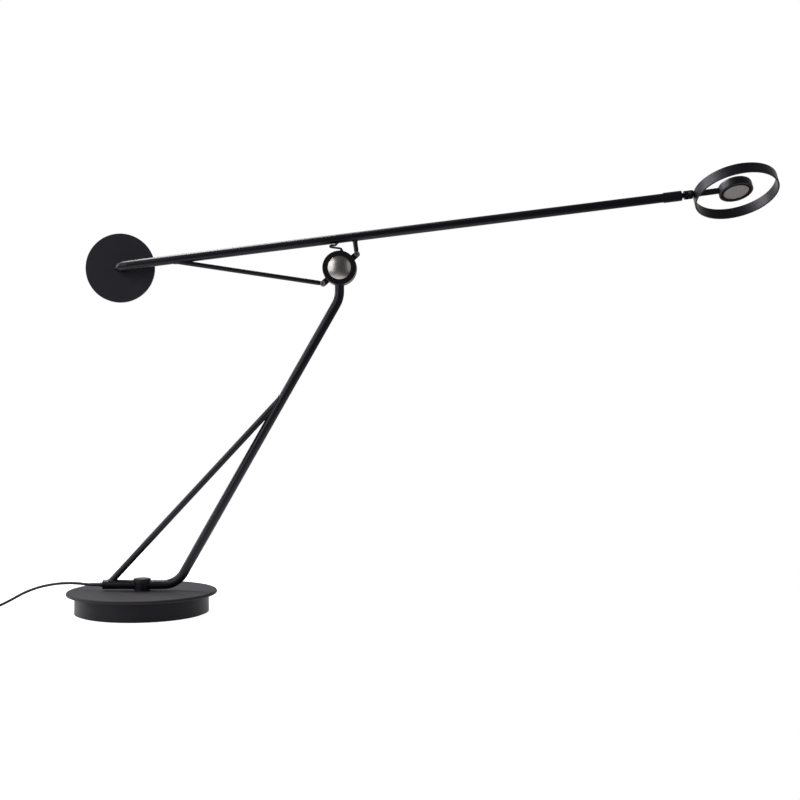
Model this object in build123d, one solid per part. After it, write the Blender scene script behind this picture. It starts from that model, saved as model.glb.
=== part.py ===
from build123d import *
import os
from math import cos, sin, tan, pi, radians, sqrt

# Counterweight balance desk lamp. Millimetres, +Z up, +X towards the lamp head, -Y towards the viewer.
# The origin is the centre of the round base on the surface that the lamp stands on.

os.makedirs("parts", exist_ok=True)

# Fits and joints between pieces
FIT = 0.05              # radial clearance of a shaft in its bush and of a thread in its hole
THRUST = 0.15           # gap between two flat faces that slide on each other
COPE = 0.02             # gap of a welded tube end round the tube that it meets

# Round base
PAD_HEIGHT = 1.5
PAD_DIA = 186
SKIRT_DIA = 194
SKIRT_WALL = 2
SKIRT_HEIGHT = 26
PLATE_DIA = 218
PLATE_THICK = 5
PLATE_EDGE_RADIUS = 2.4
COVER_THICK = 2
COVER_SCREW_DIA = 4
COVER_SCREW_HEAD_DIA = 7.5
COVER_SCREW_SOCKET = 3
COVER_SCREW_SOCKET_DEPTH = 1.2
COVER_SCREW_LENGTH = 12
COVER_SCREW_CIRCLE_DIA = 132
COVER_SCREW_COUNT = 3

# Swivel in the middle of the base
SPIGOT_DIA = 12
BUSH_WALL = 2
NUT_POCKET_DIA = 36
NUT_POCKET_DEPTH = 12
THRUST_WASHER_DIA = 22
THRUST_WASHER_THICK = 1
WAVE_WASHER_DIA = 26
WAVE_WASHER_THICK = 0.4
KEEPER_DIA = 28
KEEPER_THICK = 2
SWIVEL_BOLT_DIA = 5
SWIVEL_NUT_ACROSS = 9
SWIVEL_NUT_THICK = 4
POST_DIA = 24
CLAMP_CAP_DIA = 25.4
CLAMP_CAP_THICK = 4.4
CLAMP_CAP_EDGE = 1.8
CAP_THREAD_DEPTH = 3.6
CAP_SEAT = 2            # the cap sits this far down over the tube

# Stand tube, brace and the lead inside
STAND_TUBE_DIA = 13.8
STAND_TUBE_WALL = 1.2
STAND_TUBE_GAP = 1.7    # from the top of the plate to the underside of the foot of the tube
FOOT_LEFT_X = -55
FOOT_BEND_X = 51.2
FOOT_BEND_RADIUS = 34
TOP_BEND_RADIUS = 40
RISE_ANGLE = 60.4       # slope of the leaning part of the stand
BRACE_DIA = 9.4
BRACE_WALL = 1
BRACE_FOOT_X = -49.9
BRACE_TOP_X = 210.8
GLAND_DIA = 14.1
GLAND_FLANGE = 2.5
GLAND_PLUG_LENGTH = 10
GLAND_EDGE = 0.6
LEAD_DIA = 1.8

# Hub at the top of the stand
HUB_X = 289.3
HUB_Z = 505
HUB_DIA = 50
HUB_DEPTH = 16
HUB_WALL = 3
HUB_EDGE = 1.2
KNOB_DIA = 34.4
KNOB_PROUD = 4.6
KNOB_EDGE_PROUD = 0.4
KNOB_RIM = 2.2
KNOB_STEM_DIA = 6
KNOB_GAP = 0.4
DIMMER_DIA = 30
DIMMER_DEPTH = 6.5
DIMMER_BORE_DEPTH = 5
AXLE_DIA = 10
AXLE_FLANGE_DIA = 18
AXLE_FLANGE_THICK = 1.6
FRICTION_WASHER_DIA = 30
FRICTION_WASHER_THICK = 0.9
SPRING_WASHER_DIA = 20
SPRING_WASHER_THICK = 1.2
AXLE_NUT_ACROSS = 16
AXLE_NUT_THICK = 4
BACK_CAP_DIA = 36
BACK_CAP_DEPTH = 8.5
BACK_CAP_WALL = 1
BACK_CAP_EDGE = 3
NIPPLE_DIA = 5
NIPPLE_PROUD = 1.8
NIPPLE_ANGLE = 83       # as the viewer sees it, anticlockwise from +X

# Lug ring, balance arm and its two stays
LUG_RING_DIA = 50.5
LUG_RING_THICK = 8.2
LUG_RING_EDGE = 0.8
LUG_BUSH_WALL = 2
LUG_REACH = 33          # from the pivot to each stay's screw
LUG_ANGLES = (41, 221)  # as the viewer sees them, anticlockwise from +X
LUG_WIDTH = 9
LUG_THICK = 3
EYE_THICK = 2.4
EYE_DIA = 9
EYE_NECK_LENGTH = 9
EYE_NECK_WIDTH = 6
LUG_SCREW_DIA = 4
LUG_SCREW_HEAD_DIA = 8
LUG_SCREW_HEAD_THICK = 2
LUG_SCREW_HEAD_EDGE = 0.6
LUG_SCREW_SOCKET = 3
LUG_SCREW_SOCKET_DEPTH = 1.4
LUG_NUT_ACROSS = 7
LUG_NUT_THICK = 3
ARM_TUBE_DIA = 13.4
ARM_TUBE_WALL = 1
ARM_SLOPE = 7.15
ARM_OFFSET = 44.4       # from the pivot to the arm's axis
ARM_BEHIND = 13         # the arm's plane lies this far behind the stand's plane
ARM_BEND_RADIUS = 16
STAY_DIA = 7
LONG_STAY_REACH = 251.7
SHORT_STAY_REACH = 27.2
STAY_FRONT = 1          # the stays lie this far before the arm's plane
GROMMET_DIA = 5
GROMMET_PROUD = 0.8
GROMMET_EASE = 0.4      # radial room round the jumper lead
JUMPER_DIA = 2.4
ARM_LEAD_START = 4      # past the grommet, where the jumper lead turns into the arm

# Counterweight
WEIGHT_DIA = 103
WEIGHT_THICK = 6.4
WEIGHT_EDGE = 0.8
WEIGHT_REACH = 326
WEIGHT_BEHIND_ARM = 20.5
WEIGHT_SCREW_DIA = 5
WEIGHT_SCREW_HEAD_DIA = 12
WEIGHT_SCREW_HEAD_THICK = 3
WEIGHT_SCREW_HEAD_EDGE = 1
WEIGHT_SCREW_SOCKET = 5
WEIGHT_SCREW_SOCKET_DEPTH = 2
END_PLUG_FLANGE = 1
END_PLUG_LENGTH = 3.5

# Roll joint and tilt knuckle at the arm's right end
KNUCKLE_REACH = 524.9
SLEEVE_DIA = 15.2
SLEEVE_LENGTH = 26.4
SLEEVE_TO_PIN = 11.5
ROLL_NECK_DIA = 7.5
ROLL_NECK_BORE = 3
ROLL_NECK_INSIDE = 24
ROLL_BUSH_LENGTH = 18
SLEEVE_END_WALL = 2
RETAINER_DIA = 9.6
RETAINER_THICK = 1.5
FORK_DIA = 13
FORK_BACK = 7.6
FORK_SLOT = 5
FORK_SLOT_ROOM = 0.6    # between the slot's end and the tongue
ROLL_NECK_ROOT = 1      # the neck runs this far into the fork
TONGUE_THICK = 4.7
TONGUE_DIA = 10
TONGUE_HEIGHT = 6
HINGE_PIN_DIA = 4
HINGE_PIN_LENGTH = 12.8

# Lamp head: a hoop with a round light in its middle
HEAD_ROLL = 24.4        # the light is turned this far towards the viewer
HEAD_TILT = 0.6         # and the hoop is raised this far at the hinge pin
HOOP_DIA = 124.2
HOOP_HEIGHT = 16.4
HOOP_WALL = 2.6
HOOP_EDGE = 0.5
HOOP_BELOW_STEM = 5
HOOP_TO_PIN = 6.8
NECK_NIPPLE_DIA = 4.4
NECK_NIPPLE_LENGTH = 6  # inside the stem
LEAD_ROOM = 0.1         # radial clearance of a lead in its bore
SHOULDER_WASHER_THICK = 1
STEM_DIA = 9
STEM_BORE = 3
PUCK_DIA = 50.3
PUCK_HEIGHT = 14
PUCK_EDGE = 0.8
PUCK_SHOULDER = 4       # radius of the housing's upper edge
STEM_LEAD_SHORT = 16.5  # the stem's lead ends this far before the light's middle
PUCK_WALL = 2.5
PUCK_TOP = 4
BOARD_DIA = 40
BOARD_THICK = 1.6
DIFFUSER_DIA = 39.5
DIFFUSER_THICK = 2.4
BEZEL_LIP = 1
LED_SIZE = 3
LED_THICK = 0.7
LED_CIRCLE_DIA = 22
LED_COUNT = 6

# Mains cord, its put-away coil and its plug
CORD_DIA = 4
CORD_REST = 0.2         # the cord lies this far off the surface
CORD_RUN_SHARE = 0.45
COIL_PITCH = 5.25
COIL_OUTER_RADIUS = 30
COIL_LAYERS = 4
COIL_HALF_TURNS = 6     # in each layer, one fewer in the last
COIL_CENTRE_X = -264
COIL_TAIL = 20          # the straight end that leads out of the coil to the plug
PLUG_LENGTH = 34
PLUG_REST = 0.3
PLUG_NECK_LENGTH = 18
PLUG_NECK_START = 5
PLUG_NECK_DIA = 9
PLUG_EDGE = 3
PLUG_PIN_DIA = 4.8
PLUG_PIN_LENGTH = 19
PLUG_PIN_SPACING = 19
PLUG_PIN_EDGE = 1

# Heights and places that follow from the sizes above
skirt_top = PAD_HEIGHT + SKIRT_HEIGHT
plate_top = skirt_top + PLATE_THICK
ballast_bottom = PAD_HEIGHT + COVER_THICK
ballast_dia = SKIRT_DIA - 2 * SKIRT_WALL
pocket_top = ballast_bottom + NUT_POCKET_DEPTH
tube_z = plate_top + STAND_TUBE_GAP + STAND_TUBE_DIA / 2
post_bottom = plate_top + THRUST_WASHER_THICK + THRUST
spigot_bottom = pocket_top - WAVE_WASHER_THICK - THRUST
cap_bottom = tube_z + STAND_TUBE_DIA / 2 - CAP_SEAT
hub = Vector(HUB_X, 0, HUB_Z)
nipple_dir = Vector(cos(radians(NIPPLE_ANGLE)), 0, sin(radians(NIPPLE_ANGLE)))
hub_back = HUB_DEPTH / 2
lug_front = hub_back + FRICTION_WASHER_THICK + 2 * THRUST
lug_back = lug_front + LUG_RING_THICK
arm_dir = Vector(cos(radians(ARM_SLOPE)), 0, sin(radians(ARM_SLOPE)))
toward_viewer = Vector(0, -1, 0)
arm_plane = Plane(origin=(HUB_X, ARM_BEHIND, HUB_Z), x_dir=arm_dir, z_dir=toward_viewer)
arm_up = arm_plane.y_dir
roll = radians(HEAD_ROLL)
tilt = radians(HEAD_TILT)
rolled_down = arm_up * -cos(roll) + toward_viewer * sin(roll)
stem_dir = arm_dir * cos(tilt) - rolled_down * sin(tilt)
light_dir = rolled_down * cos(tilt) + arm_dir * sin(tilt)


def arm_point(along, up=0, front=0):
    """A point by its place along the arm, square above the pivot, and before the arm's plane."""
    return arm_plane.from_local_coords(Vector(along, up, front))


knuckle = arm_point(KNUCKLE_REACH, ARM_OFFSET)
fork_plane = Plane(origin=knuckle, x_dir=arm_dir, z_dir=rolled_down * -1)
head_plane = Plane(origin=knuckle, x_dir=stem_dir, z_dir=light_dir * -1)
hoop_centre = HOOP_TO_PIN + HOOP_DIA / 2


def rod(start, end, diameter):
    """A round bar between two points."""
    run = Vector(end) - Vector(start)
    bar = Cylinder(diameter / 2, run.length, align=(Align.CENTER, Align.CENTER, Align.MIN))
    return Plane(origin=start, z_dir=run) * bar


def sleeve(start, end, diameter, bore):
    """A round tube between two points."""
    return rod(start, end, diameter) - rod(start, end, bore)


def hex_bar(start, end, across):
    """A hexagonal bar between two points."""
    run = Vector(end) - Vector(start)
    body = extrude(RegularPolygon(across / 2, 6, major_radius=False), run.length)
    return Plane(origin=start, z_dir=run) * body


def hex_nut(start, end, across, bore):
    """A hexagonal nut between two points."""
    return hex_bar(start, end, across) - rod(start, end, bore)


def at_z(height):
    return Vector(0, 0, height)


def at_hub(back):
    """A point on the pivot's axis, by its distance behind the stand's plane."""
    return hub + Vector(0, back, 0)


def swept(path, diameter, bore=0):
    """A round bar or tube along a path."""
    section = Circle(diameter / 2) - Circle(bore / 2) if bore else Circle(diameter / 2)
    return sweep(Plane(origin=path @ 0, z_dir=path % 0) * section, path=path)


def rounded(shape, diameter, radius, axis=Axis.Z, which=None):
    """Rounds the circular edges of one diameter; which picks one end along the axis."""
    edges = shape.edges().filter_by(GeomType.CIRCLE)
    edges = [e for e in edges if abs(e.radius - diameter / 2) < 1e-3]
    if which is not None:
        edges = [sorted(edges, key=lambda e: e.center().dot(axis.direction))[which]]
    return fillet(edges, radius)


def group(solids):
    return Compound(children=list(solids))


nodes = {}

# ---------------------------------------------------------------- base

def base_skirt():
    """The drum's side, a band that the plate sits on."""
    return sleeve(at_z(PAD_HEIGHT), at_z(skirt_top), SKIRT_DIA, ballast_dia)


def base_plate():
    """The round top plate, its edge rolled over, with a hole for the swivel's bush."""
    plate = rod(at_z(skirt_top), at_z(plate_top), PLATE_DIA)
    plate = rounded(plate, PLATE_DIA, PLATE_EDGE_RADIUS)
    return plate - rod(at_z(skirt_top), at_z(plate_top), SPIGOT_DIA + 2 * (BUSH_WALL + 2 * FIT))


def cover_screw_places():
    return PolarLocations(COVER_SCREW_CIRCLE_DIA / 2, COVER_SCREW_COUNT, start_angle=90)


def ballast():
    """The heavy cast disc inside the drum, with a pocket for the swivel's nut from below."""
    disc = rod(at_z(ballast_bottom), at_z(skirt_top), ballast_dia - 2 * FIT)
    disc -= rod(at_z(ballast_bottom), at_z(pocket_top), NUT_POCKET_DIA)
    disc -= rod(at_z(pocket_top), at_z(skirt_top), SPIGOT_DIA + 2 * (BUSH_WALL + 2 * FIT))
    for at in cover_screw_places():
        foot = at.position + at_z(PAD_HEIGHT)
        disc -= rod(foot, foot + at_z(COVER_SCREW_LENGTH + FIT), COVER_SCREW_DIA + 2 * FIT)
    return disc


def bottom_cover():
    """The disc that closes the drum from below; its screw heads lie flush in it."""
    disc = rod(at_z(PAD_HEIGHT), at_z(ballast_bottom), ballast_dia - 2 * FIT)
    for at in cover_screw_places():
        foot = at.position + at_z(PAD_HEIGHT)
        disc -= rod(foot, foot + at_z(COVER_THICK), COVER_SCREW_HEAD_DIA + 2 * FIT)
    return disc


def cover_screw(place):
    foot = place + at_z(PAD_HEIGHT)
    head = rod(foot, foot + at_z(COVER_THICK), COVER_SCREW_HEAD_DIA)
    screw = head + rod(foot, foot + at_z(COVER_SCREW_LENGTH), COVER_SCREW_DIA)
    return screw - hex_bar(foot, foot + at_z(COVER_SCREW_SOCKET_DEPTH), COVER_SCREW_SOCKET)


def base_nodes():
    bush_dia = SPIGOT_DIA + 2 * (FIT + BUSH_WALL)
    spigot_bore = SPIGOT_DIA + 2 * FIT
    nodes["foot_pad"] = rod(at_z(0), at_z(PAD_HEIGHT), PAD_DIA)
    nodes["base_skirt"] = base_skirt()
    nodes["base_plate"] = base_plate()
    nodes["ballast"] = ballast()
    nodes["bottom_cover"] = bottom_cover()
    nodes["cover_screws"] = group(cover_screw(at.position) for at in cover_screw_places())
    nodes["swivel_bush"] = sleeve(at_z(pocket_top), at_z(plate_top), bush_dia, spigot_bore)
    washer_top = at_z(plate_top + THRUST_WASHER_THICK)
    nodes["thrust_washer"] = sleeve(at_z(plate_top), washer_top, THRUST_WASHER_DIA, spigot_bore)
    wave_bottom = at_z(pocket_top - WAVE_WASHER_THICK)
    nodes["wave_washer"] = sleeve(wave_bottom, at_z(pocket_top), WAVE_WASHER_DIA, spigot_bore)


# ---------------------------------------------------------------- stand

def foot_tube_cutter():
    reach = Vector(POST_DIA, 0, 0)
    centre = at_z(tube_z)
    return rod(centre - reach, centre + reach, STAND_TUBE_DIA + 2 * FIT)


def bolt_passage(top):
    return rod(at_z(spigot_bottom - KEEPER_THICK), at_z(top), SWIVEL_BOLT_DIA + 2 * FIT)


def swivel_post():
    """The post that turns on the base: a saddle for the foot of the tube above a long spigot."""
    post = rod(at_z(post_bottom), at_z(cap_bottom), POST_DIA)
    post += rod(at_z(spigot_bottom), at_z(post_bottom), SPIGOT_DIA)
    return post - foot_tube_cutter() - bolt_passage(cap_bottom)


def clamp_cap():
    """The round cap that clamps the tube into its saddle; the bolt ends in its thread."""
    cap = rod(at_z(cap_bottom), at_z(cap_bottom + CLAMP_CAP_THICK), CLAMP_CAP_DIA)
    cap = rounded(cap, CLAMP_CAP_DIA, CLAMP_CAP_EDGE, which=-1)
    return cap - foot_tube_cutter() - bolt_passage(cap_bottom + CAP_THREAD_DEPTH)


def swivel_hardware():
    """What holds the post down: a bolt from the cap through all of it, a keeper disc and a nut."""
    keeper_bottom = spigot_bottom - KEEPER_THICK
    nut_bottom = keeper_bottom - SWIVEL_NUT_THICK
    bolt_top = at_z(cap_bottom + CAP_THREAD_DEPTH - FIT)
    bore = SWIVEL_BOLT_DIA + 2 * FIT
    nodes["swivel_bolt"] = rod(at_z(nut_bottom), bolt_top, SWIVEL_BOLT_DIA)
    nodes["swivel_keeper"] = sleeve(at_z(keeper_bottom), at_z(spigot_bottom), KEEPER_DIA, bore)
    nodes["swivel_nut"] = hex_nut(at_z(nut_bottom), at_z(keeper_bottom), SWIVEL_NUT_ACROSS, bore)


def stand_path(top_z, left_x, behind=0):
    """The tube's centre line: a flat foot, a lean of RISE_ANGLE, and a short upright into the hub."""
    rise = tan(radians(RISE_ANGLE))
    top_bend_z = tube_z + (HUB_X - FOOT_BEND_X) * rise
    points = [(left_x, tube_z), (FOOT_BEND_X, tube_z), (HUB_X, top_bend_z), (HUB_X, top_z)]
    points = [(x, behind, z) for x, z in points]
    return FilletPolyline(*points, radius=[FOOT_BEND_RADIUS, TOP_BEND_RADIUS])


def stand_tube():
    """One steel tube with two bends; its foot is drilled for the swivel's bolt."""
    path = stand_path(HUB_Z - HUB_DIA / 2 + HUB_WALL, FOOT_LEFT_X)
    tube = swept(path, STAND_TUBE_DIA, STAND_TUBE_DIA - 2 * STAND_TUBE_WALL)
    return tube - bolt_passage(cap_bottom + CAP_THREAD_DEPTH)


def brace_tube():
    """The thin straight brace, welded to the foot and high up on the leaning part."""
    rise = tan(radians(RISE_ANGLE))
    foot = Vector(BRACE_FOOT_X, 0, tube_z)
    top = Vector(BRACE_TOP_X, 0, tube_z + (BRACE_TOP_X - FOOT_BEND_X) * rise)
    lean_start = Vector(FOOT_BEND_X, 0, tube_z)
    lean_end = Vector(HUB_X, 0, tube_z + (HUB_X - FOOT_BEND_X) * rise)
    foot_start = Vector(FOOT_LEFT_X - GLAND_DIA, 0, tube_z)
    coped = STAND_TUBE_DIA + 2 * COPE
    brace = sleeve(foot, top, BRACE_DIA, BRACE_DIA - 2 * BRACE_WALL)
    brace -= rod(lean_start, lean_end, coped)
    brace -= rod(foot_start, lean_start, coped)
    return max(brace.solids(), key=lambda s: s.volume)


def foot_gland():
    """The plug in the tube's left end, with the hole that the mains cord leaves by."""
    mouth = Vector(FOOT_LEFT_X, 0, tube_z)
    outside = mouth - Vector(GLAND_FLANGE, 0, 0)
    inside = mouth + Vector(GLAND_PLUG_LENGTH, 0, 0)
    flange = rounded(rod(outside, mouth, GLAND_DIA), GLAND_DIA, GLAND_EDGE, Axis.X, 0)
    gland = flange + rod(mouth, inside, STAND_TUBE_DIA - 2 * STAND_TUBE_WALL - 2 * FIT)
    return gland - rod(outside, inside, CORD_DIA + 2 * FIT)


def stand_lead():
    """The lead inside the stand; it lies against the back of the bore and passes the bolt there."""
    bore_radius = STAND_TUBE_DIA / 2 - STAND_TUBE_WALL
    behind = bore_radius - LEAD_DIA / 2 - 2 * LEAD_ROOM
    start_x = FOOT_LEFT_X + GLAND_PLUG_LENGTH + FIT
    return swept(stand_path(HUB_Z - DIMMER_DIA / 2 - FIT, start_x, behind), LEAD_DIA)


def stand_nodes():
    nodes["swivel_post"] = swivel_post()
    nodes["clamp_cap"] = clamp_cap()
    swivel_hardware()
    nodes["stand_tube"] = stand_tube()
    nodes["brace_tube"] = brace_tube()
    nodes["foot_gland"] = foot_gland()
    nodes["stand_lead"] = stand_lead()


# ---------------------------------------------------------------- hub on the stand

module_back = hub_back - HUB_WALL
module_front = module_back - DIMMER_DEPTH


def hub_housing():
    """The drum that the tube ends in: open in front for the knob, with the pivot's hole behind."""
    drum = rounded(rod(at_hub(-hub_back), at_hub(hub_back), HUB_DIA), HUB_DIA, HUB_EDGE, Axis.Y)
    drum -= rod(at_hub(-hub_back), at_hub(module_back), KNOB_DIA + 2 * KNOB_GAP)
    drum -= rod(at_hub(module_back), at_hub(hub_back), AXLE_DIA + 2 * FIT)
    drum -= rod(hub - at_z(HUB_DIA / 2 + HUB_EDGE), hub, STAND_TUBE_DIA + 2 * FIT)
    return drum - rod(hub, hub + nipple_dir * (HUB_DIA / 2 + NIPPLE_PROUD), NIPPLE_DIA + 2 * FIT)


def jumper_nipple():
    """The little nipple on top of the hub that the jumper lead leaves by."""
    low = hub + nipple_dir * (KNOB_DIA / 2 + KNOB_GAP)
    high = hub + nipple_dir * (HUB_DIA / 2 + NIPPLE_PROUD)
    return sleeve(low, high, NIPPLE_DIA, JUMPER_DIA + 2 * FIT)


def dimmer_module():
    """The round dimmer behind the knob; the tube's mouth and the axle's flange stay clear of it."""
    body = rod(at_hub(module_front), at_hub(module_back - AXLE_FLANGE_THICK - FIT), DIMMER_DIA)
    stem_end = at_hub(module_front + DIMMER_BORE_DEPTH)
    stem_hole = rod(at_hub(module_front), stem_end, KNOB_STEM_DIA + 2 * FIT)
    rim = sleeve(at_hub(module_front), at_hub(module_back), DIMMER_DIA, AXLE_FLANGE_DIA + 2 * FIT)
    return body + rim - stem_hole


def dimmer_knob():
    """The brushed steel knob: a shallow dome turned on the lathe, with a stem into the dimmer."""
    back = KNOB_RIM - hub_back
    front = -hub_back - KNOB_PROUD
    dome_height = KNOB_PROUD - KNOB_EDGE_PROUD
    dome_radius = ((KNOB_DIA / 2) ** 2 + dome_height ** 2) / (2 * dome_height)
    ball = Pos(at_hub(front + dome_radius)) * Sphere(dome_radius)
    dome = rod(at_hub(front), at_hub(back), KNOB_DIA) & ball
    return dome + rod(at_hub(back), at_hub(module_front + DIMMER_BORE_DEPTH - THRUST), KNOB_STEM_DIA)


def back_cap():
    """The thin domed cap over the pivot's nut."""
    end = cap_start + BACK_CAP_DEPTH
    inner_dia = BACK_CAP_DIA - 2 * BACK_CAP_WALL
    outside = rod(at_hub(cap_start), at_hub(end), BACK_CAP_DIA)
    inside = rod(at_hub(cap_start), at_hub(end - BACK_CAP_WALL), inner_dia)
    outside = rounded(outside, BACK_CAP_DIA, BACK_CAP_EDGE, Axis.Y, -1)
    return outside - rounded(inside, inner_dia, BACK_CAP_EDGE - BACK_CAP_WALL, Axis.Y, -1)


spring_start = lug_back + FRICTION_WASHER_THICK + 2 * THRUST
nut_start = spring_start + SPRING_WASHER_THICK
cap_start = lug_back + THRUST


def pivot_nodes():
    """The axle through the hub's back wall, and what is stacked on it behind the lug ring."""
    bore = AXLE_DIA + 2 * FIT
    nut_end = nut_start + AXLE_NUT_THICK
    flange = rod(at_hub(module_back - AXLE_FLANGE_THICK), at_hub(module_back), AXLE_FLANGE_DIA)
    nodes["pivot_axle"] = flange + rod(at_hub(module_back), at_hub(nut_end), AXLE_DIA)
    washers = []
    for start in (hub_back, lug_back + 2 * THRUST):
        end = start + FRICTION_WASHER_THICK
        washers.append(sleeve(at_hub(start), at_hub(end), FRICTION_WASHER_DIA, bore))
    nodes["friction_washers"] = group(washers)
    nodes["spring_washer"] = sleeve(at_hub(spring_start), at_hub(nut_start), SPRING_WASHER_DIA, bore)
    nodes["axle_nut"] = hex_nut(at_hub(nut_start), at_hub(nut_end), AXLE_NUT_ACROSS, bore)
    nodes["back_cap"] = back_cap()


def hub_nodes():
    nodes["hub_housing"] = hub_housing()
    nodes["jumper_nipple"] = jumper_nipple()
    nodes["dimmer_module"] = dimmer_module()
    nodes["dimmer_knob"] = dimmer_knob()
    pivot_nodes()


# ---------------------------------------------------------------- balance arm

stay_plane_y = ARM_BEHIND - STAY_FRONT
eye_front = stay_plane_y - EYE_THICK / 2
eye_back = stay_plane_y + EYE_THICK / 2
lug_ear_back = eye_back + LUG_THICK
arm_end = KNUCKLE_REACH - SLEEVE_TO_PIN
arm_bore = ARM_TUBE_DIA - 2 * ARM_TUBE_WALL
neck_bore = ROLL_NECK_DIA + 2 * FIT


def axis_point(along, front=0):
    """A point on the arm's own axis."""
    return arm_point(along, ARM_OFFSET, front)


def lug_point(angle, y):
    """The place of a stay's screw on the lug ring."""
    turned = Vector(cos(radians(angle)), 0, sin(radians(angle))) * LUG_REACH
    return Vector(HUB_X + turned.X, y, HUB_Z + turned.Z)


def link(start, end, width, thick):
    """A flat bar between two points of one plane square to Y; it lies behind that plane."""
    run = Vector(end) - Vector(start)
    bar = Box(run.length, width, thick, align=(Align.MIN, Align.CENTER, Align.MIN))
    return Plane(origin=start, x_dir=run, z_dir=(0, 1, 0)) * bar


def lug_ring():
    """The disc that turns on the axle, with an ear on each side for a stay."""
    ring = rod(at_hub(lug_front), at_hub(lug_back), LUG_RING_DIA)
    ring = rounded(ring, LUG_RING_DIA, LUG_RING_EDGE, Axis.Y)
    holes = rod(at_hub(lug_front), at_hub(lug_back), AXLE_DIA + 2 * (LUG_BUSH_WALL + 2 * FIT))
    for angle in LUG_ANGLES:
        front, back = lug_point(angle, eye_back), lug_point(angle, lug_ear_back)
        ring += link(at_hub(eye_back), front, LUG_WIDTH, LUG_THICK) + rod(front, back, LUG_WIDTH)
        holes += rod(front, back, LUG_SCREW_DIA + 2 * FIT)
    return ring - holes


def stay(angle, reach):
    """A round stay: its end is flattened to an eye at the lug, and the other end is welded to the arm."""
    centre = lug_point(angle, stay_plane_y)
    front, back = lug_point(angle, eye_front), lug_point(angle, eye_back)
    weld = axis_point(reach, STAY_FRONT)
    along = (weld - centre).normalized()
    bar = link(front, front + along * EYE_NECK_LENGTH, EYE_NECK_WIDTH, EYE_THICK)
    bar += rod(front, back, EYE_DIA)
    bar += rod(centre + along * (EYE_NECK_LENGTH - STAY_DIA / 2), weld, STAY_DIA)
    bar -= rod(front, back, LUG_SCREW_DIA + 2 * FIT)
    bar -= rod(axis_point(-WEIGHT_REACH), axis_point(arm_end), ARM_TUBE_DIA + 2 * COPE)
    return max(bar.solids(), key=lambda s: s.volume)


def lug_screw(angle):
    head_front = lug_point(angle, eye_front - LUG_SCREW_HEAD_THICK)
    head = rod(head_front, lug_point(angle, eye_front), LUG_SCREW_HEAD_DIA)
    head = rounded(head, LUG_SCREW_HEAD_DIA, LUG_SCREW_HEAD_EDGE, Axis.Y, 0)
    screw = head + rod(head_front, lug_point(angle, lug_ear_back + LUG_NUT_THICK), LUG_SCREW_DIA)
    socket_end = head_front + Vector(0, LUG_SCREW_SOCKET_DEPTH, 0)
    return screw - hex_bar(head_front, socket_end, LUG_SCREW_SOCKET)


def lug_nut(angle):
    back = lug_point(angle, lug_ear_back + LUG_NUT_THICK)
    return hex_nut(lug_point(angle, lug_ear_back), back, LUG_NUT_ACROSS, LUG_SCREW_DIA + 2 * FIT)


def grommet_seat(up):
    return arm_point(0, ARM_OFFSET - ARM_TUBE_DIA / 2 + up)


def arm_tube():
    """The long straight tube; its left end is bent back, square to the arm, to carry the weight."""
    points = [
        axis_point(-WEIGHT_REACH, END_PLUG_FLANGE - WEIGHT_BEHIND_ARM),
        axis_point(-WEIGHT_REACH),
        axis_point(arm_end - SLEEVE_END_WALL),
    ]
    tube = swept(FilletPolyline(*points, radius=[ARM_BEND_RADIUS]), ARM_TUBE_DIA, arm_bore)
    return tube - rod(grommet_seat(-GROMMET_PROUD), grommet_seat(ARM_TUBE_DIA / 2), GROMMET_DIA + 2 * FIT)


def jumper_grommet():
    """The small bush in the underside of the arm that the jumper lead goes in by."""
    high = grommet_seat(ARM_TUBE_WALL + GROMMET_PROUD)
    return sleeve(grommet_seat(-GROMMET_PROUD), high, GROMMET_DIA, JUMPER_DIA + 2 * GROMMET_EASE)


def jumper_route():
    """The slack loop from the nipple on the hub into the arm, which takes up the arm's tilt."""
    return [
        hub + nipple_dir * (HUB_DIA / 2 - 1),
        hub + nipple_dir * (HUB_DIA / 2 + NIPPLE_PROUD + 2),
        hub + Vector(-2.8, 1.8, 30.8),
        hub + Vector(-9.8, 4.0, 31.4),
        hub + Vector(-14.3, 6.4, 32.9),
        hub + Vector(-13.5, 9.4, 35.3),
        grommet_seat(-GROMMET_PROUD - 2) + Vector(-4, -1, -0.5),
        grommet_seat(-GROMMET_PROUD - 1),
        grommet_seat(ARM_TUBE_WALL + GROMMET_PROUD),
    ]


def cord_radii(points):
    """Arcs as large as the two runs at each corner allow."""
    radii = []
    for before, corner, after in zip(points, points[1:], points[2:]):
        run_in, run_out = Vector(corner) - Vector(before), Vector(after) - Vector(corner)
        half_turn = radians(run_in.get_angle(run_out)) / 2
        radii.append(CORD_RUN_SHARE * min(run_in.length, run_out.length) / tan(half_turn))
    return radii


def cord_tube(name, points, diameter):
    """A cord of straight runs and tangent arcs; prints its radii and compares its volume with its length."""
    radii = cord_radii(points)
    path = FilletPolyline(*points, radius=radii)
    tube = swept(path, diameter)
    section = pi * diameter ** 2 / 4
    print(name, "length", round(path.length, 1), "radii", [round(r, 1) for r in radii])
    print(name, "volume over section times length", round(tube.volume / section / path.length, 5))
    return tube


def arm_lead():
    """The lead in the arm, from the grommet to the roll joint."""
    drop = arm_bore / 2 - LEAD_DIA / 2 - 2 * FIT
    start = arm_point(ARM_LEAD_START, ARM_OFFSET - drop)
    return rod(start, arm_point(arm_end - ROLL_NECK_INSIDE - THRUST, ARM_OFFSET - drop), LEAD_DIA)


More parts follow.
